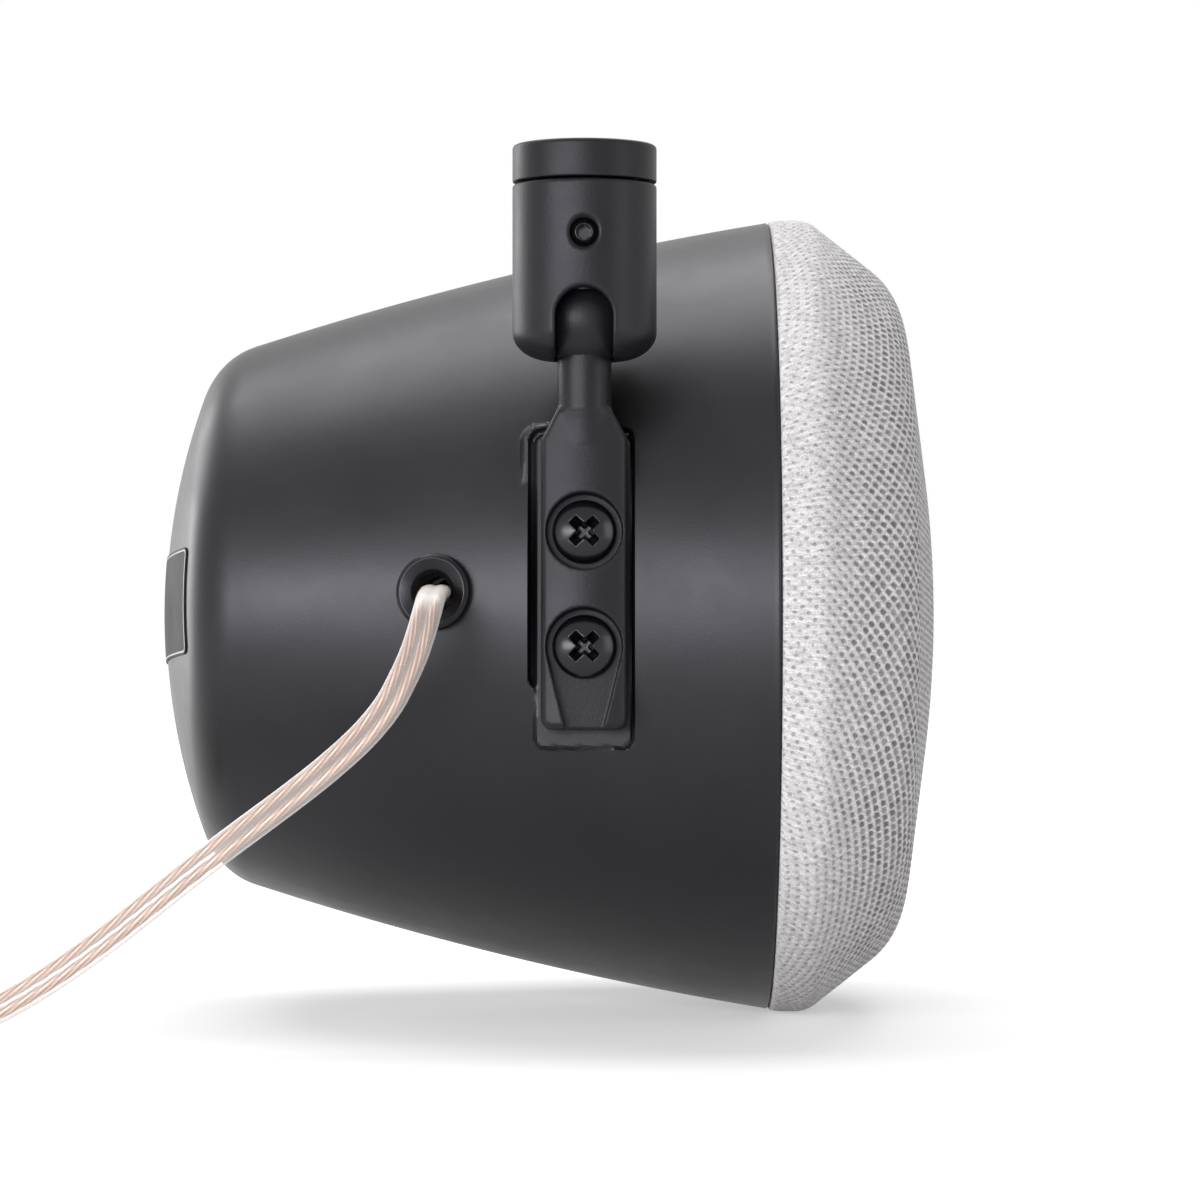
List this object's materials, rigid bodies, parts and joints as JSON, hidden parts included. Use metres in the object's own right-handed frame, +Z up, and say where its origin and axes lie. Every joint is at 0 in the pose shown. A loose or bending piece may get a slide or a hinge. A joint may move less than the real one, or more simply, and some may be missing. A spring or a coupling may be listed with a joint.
{
  "type": "pod speaker",
  "caption": "Hanging pod speaker with a tapered moulded housing, domed knit front, side arm on a clamped ball joint under a threaded swivel collar, and a flat clear speaker lead.",
  "frame": {"origin": "centre of the mount collar's top face, at the mouth of its thread", "axes": "+Z up out of the thread along the swivel's axis, +X towards the fabric front along the pod's axis, +Y from the arm's side towards the pod"},
  "size_m": [0.2223, 0.1326, 0.1338],
  "materials": {
    "cast_black": "fine textured matte",
    "black_steel": "black oxide",
    "steel": "zinc plated",
    "brass": "satin",
    "housing_plastic": "fine textured matte",
    "label_film": "satin",
    "wadding_felt": "felt",
    "black_rubber": "smooth",
    "nylon": "satin",
    "lead_sheath": "clear sheath over copper strands",
    "foam": "matte",
    "driver_paint": "satin",
    "ferrite": "ground",
    "board": "matte",
    "spider_cloth": "resin stiffened cloth",
    "cone_paper": "pressed paper",
    "copper": "enamelled wire",
    "knit": "open mesh knit"
  },
  "bodies": {
    "collar": {"mount_collar": "cast_black"},
    "socket": {"socket_body": "cast_black", "grub_screw": "black_steel", "friction_spring": "steel", "clamp_cup": "steel"},
    "ball": {"pivot_ball": "steel"},
    "pod": {"bracket_arm": "cast_black", "bracket_screw_upper": "black_steel", "bracket_screw_lower": "black_steel", "brass_inserts": "brass", "rear_housing": "housing_plastic", "rating_label": "label_film", "wadding": "wadding_felt", "cable_grommet": "black_rubber", "lead_tie": "nylon", "speaker_lead": "lead_sheath", "lead_coil": "lead_sheath", "lead_tails": "lead_sheath", "inner_leads": "lead_sheath", "baffle_seal": "foam", "baffle": "housing_plastic", "baffle_screws": "black_steel", "driver_seal": "foam", "driver_frame": "driver_paint", "driver_screws": "black_steel", "top_plate": "steel", "magnet": "ferrite", "back_plate": "steel", "terminal_strip": "board", "terminal_tags": "brass", "spider": "spider_cloth", "surround": "black_rubber", "grille_frame": "housing_plastic", "grille_fabric": "knit"},
    "cone_unit": {"cone": "cone_paper", "dust_cap": "cone_paper", "voice_coil": "copper"}
  },
  "joints": [
    {"name": "head_swivel", "type": "hinge", "parent": "collar", "child": "socket", "pos_m": [0, 0, -0.0058], "axis": [0, 0, 1], "continuous": true},
    {"name": "ball_tilt", "type": "hinge", "parent": "socket", "child": "ball", "pos_m": [0, 0, -0.0258], "axis": [-1, 0, 0], "range_deg": [-3.9, 70]},
    {"name": "ball_spin", "type": "hinge", "parent": "ball", "child": "pod", "pos_m": [0, 0, -0.0258], "axis": [0, 0.068, 0.9977], "range_deg": [-90, 90]},
    {"name": "cone_travel", "type": "slide", "parent": "pod", "child": "cone_unit", "axis": [1, 0, 0], "range_m": [-0.0025, 0.0025], "stiffness_N_per_m": 1500, "deforming": ["surround", "spider"]}
  ]
}
